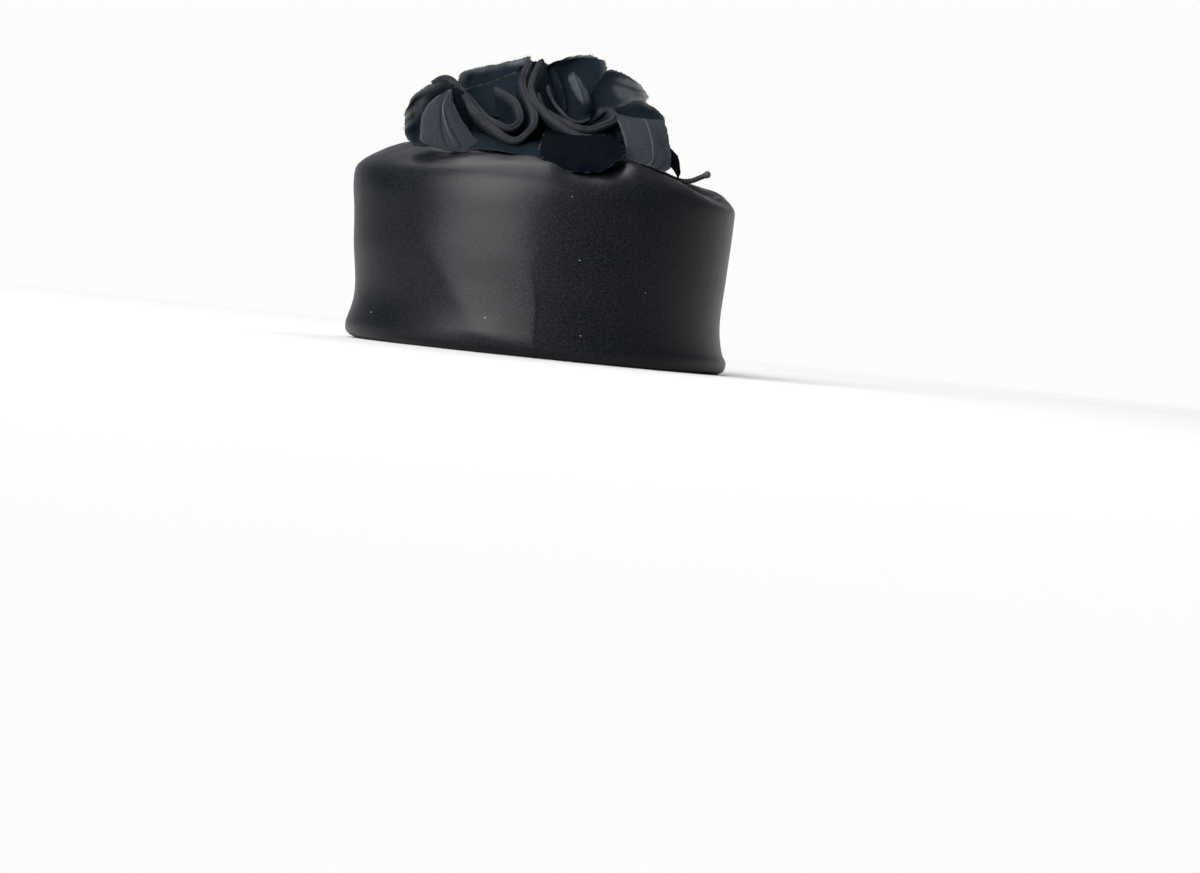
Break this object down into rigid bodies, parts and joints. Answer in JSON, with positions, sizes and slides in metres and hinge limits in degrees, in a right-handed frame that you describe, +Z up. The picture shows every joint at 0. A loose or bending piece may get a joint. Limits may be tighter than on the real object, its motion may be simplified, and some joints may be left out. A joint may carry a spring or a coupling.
{
  "type": "pillbox hat with fabric roses",
  "caption": "Small round satin hat with an upright side, rolled lower edge and draped top, trimmed with folded silk roses, leaves, loose petals and a bound wire stem.",
  "frame": {"origin": "centre of the hat's bounding box, on the plane its rolled lower edge stands on", "axes": "+X towards the front of the hat, +Z up, the flowers on the -Y side"},
  "size_m": [0.175, 0.1628, 0.1365],
  "materials": {
    "satin": "black silk satin over a stiff shell, soft directional sheen",
    "silk": "black folded silk, matt with a faint sheen on the folds",
    "leaf": "dark grey starched cloth, matt, fine grained",
    "binding": "black cloth binding round wire, matt"
  },
  "bodies": {
    "root": {"crown": "satin", "front_rose_swirl": "silk", "back_rose_swirl": "silk", "stem": "binding", "back_leaf": "leaf", "front_leaf": "leaf", "low_petal": "silk", "back_rose_low_petal": "silk", "middle_petal": "silk", "front_rose_hood_petal": "silk", "front_rose_bud_petal": "silk", "front_rose_side_petal": "silk", "front_rose_corner_petal": "silk", "back_rose_inner_petal": "silk", "back_rose_top_petal": "silk", "back_rose_side_petal": "silk", "small_leaf": "leaf", "rear_left_petal": "silk", "rear_right_petal": "silk", "rear_middle_petal": "silk", "rear_left_leaf": "leaf", "rear_right_leaf": "leaf"}
  },
  "joints": []
}
